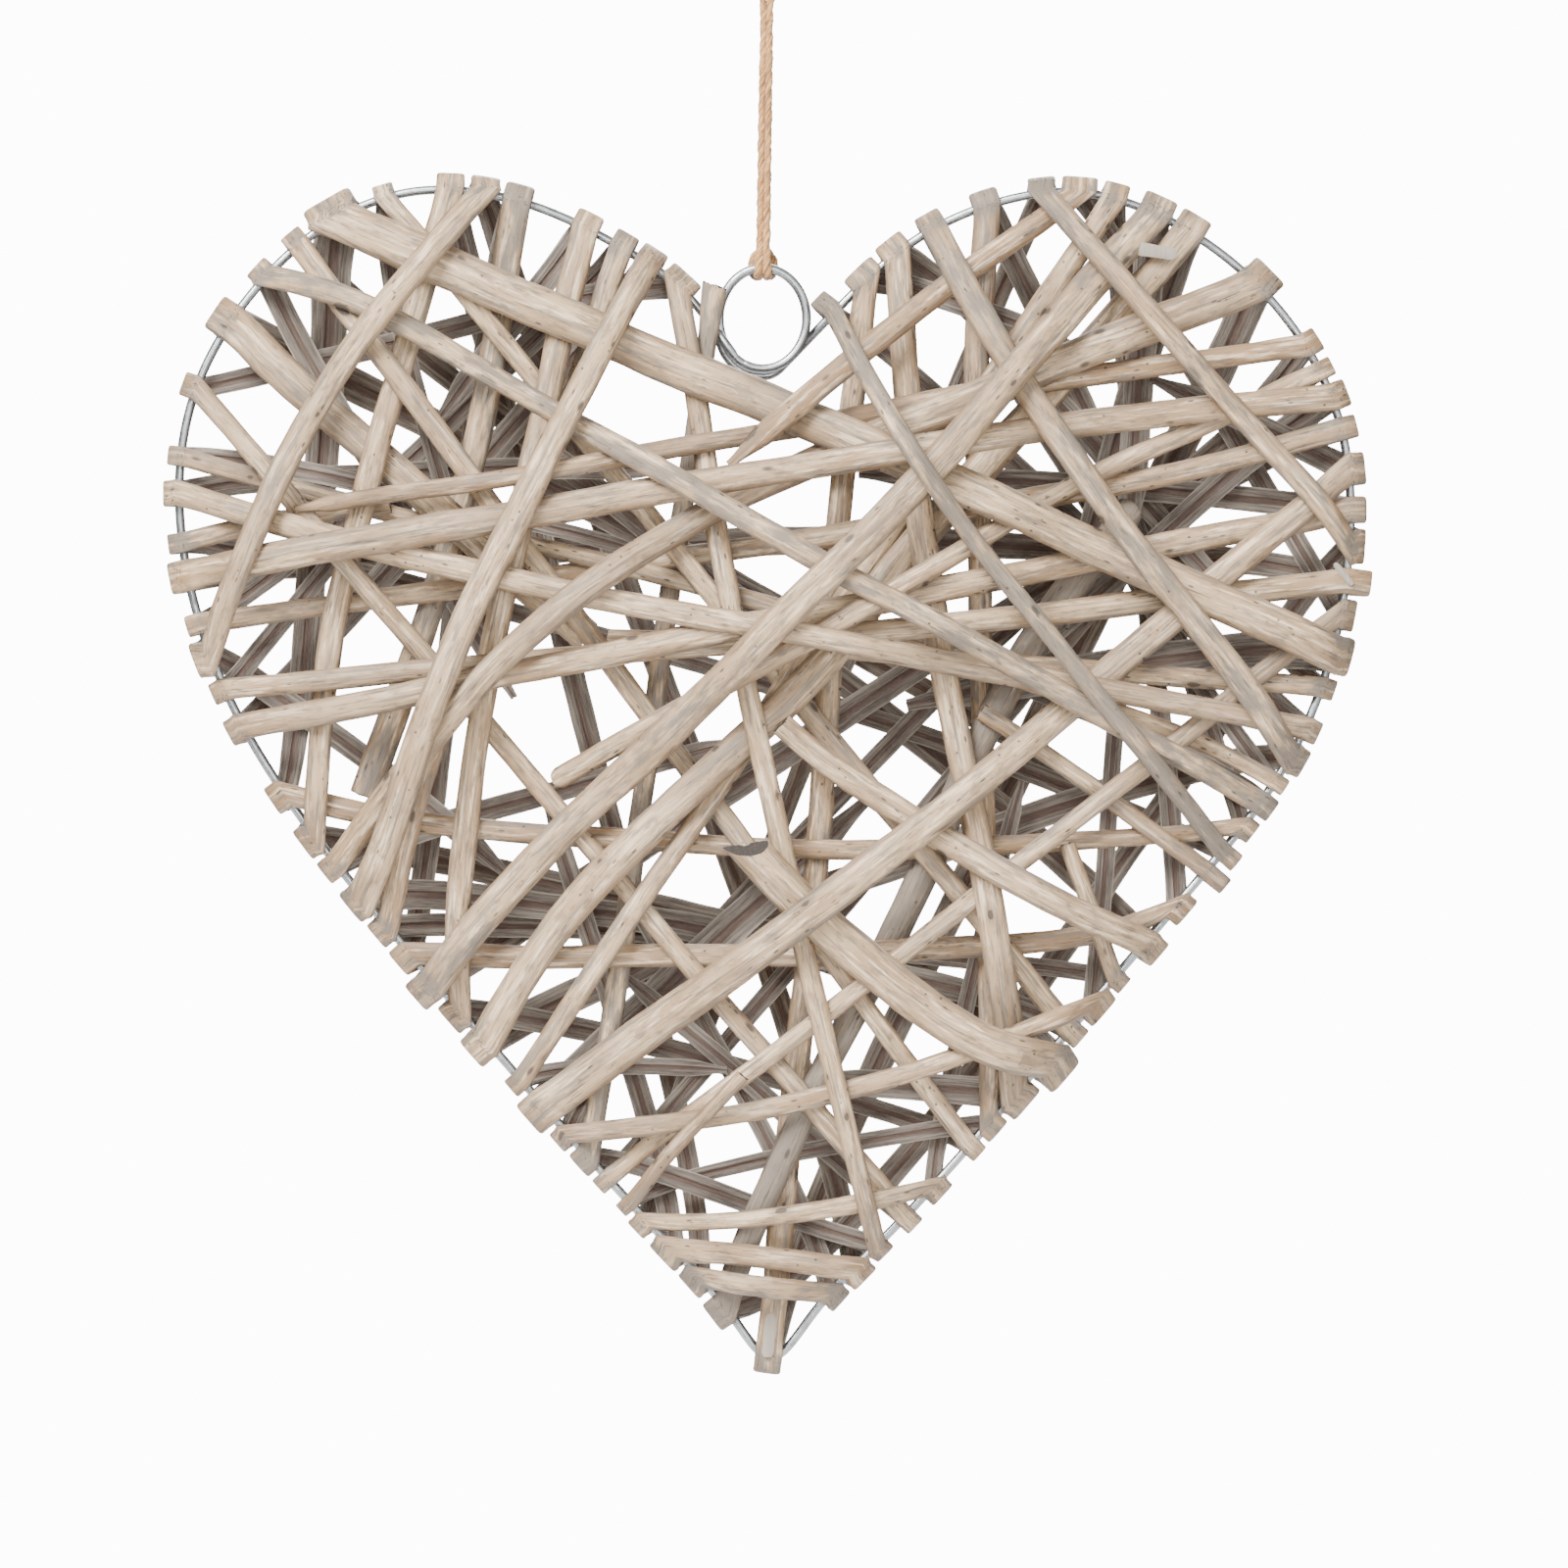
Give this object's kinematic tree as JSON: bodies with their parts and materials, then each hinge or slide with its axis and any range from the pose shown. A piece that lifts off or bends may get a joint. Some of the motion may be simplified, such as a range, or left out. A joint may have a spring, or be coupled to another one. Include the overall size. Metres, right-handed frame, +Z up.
{
  "type": "wicker heart",
  "caption": "Hanging heart of split willow rods wound criss-cross over a bent steel wire, with a ring at the cleft and a loop of jute twine.",
  "frame": {"origin": "inside of the top of the twine loop, which the heart hangs by", "axes": "+Z up; the face in the picture looks along -Y; +X is to its right as seen from the front"},
  "size_m": [0.4022, 0.0998, 0.4715],
  "materials": {
    "willow": "dry split willow, matt, bark side outward",
    "wire": "galvanised",
    "twine": "two-ply jute"
  },
  "bodies": {
    "root": {"heart_wire": "wire", "twine": "twine", "willow_rod_01": "willow", "willow_rod_02": "willow", "willow_rod_03": "willow", "willow_rod_04": "willow", "willow_rod_05": "willow", "willow_rod_06": "willow", "willow_rod_07": "willow", "willow_rod_08": "willow", "willow_rod_09": "willow", "willow_rod_10": "willow", "willow_rod_11": "willow", "willow_rod_12": "willow", "willow_rod_13": "willow", "willow_rod_14": "willow", "willow_rod_15": "willow", "willow_rod_16": "willow", "willow_rod_17": "willow", "willow_rod_18": "willow", "willow_rod_19": "willow", "willow_rod_20": "willow"}
  },
  "joints": []
}
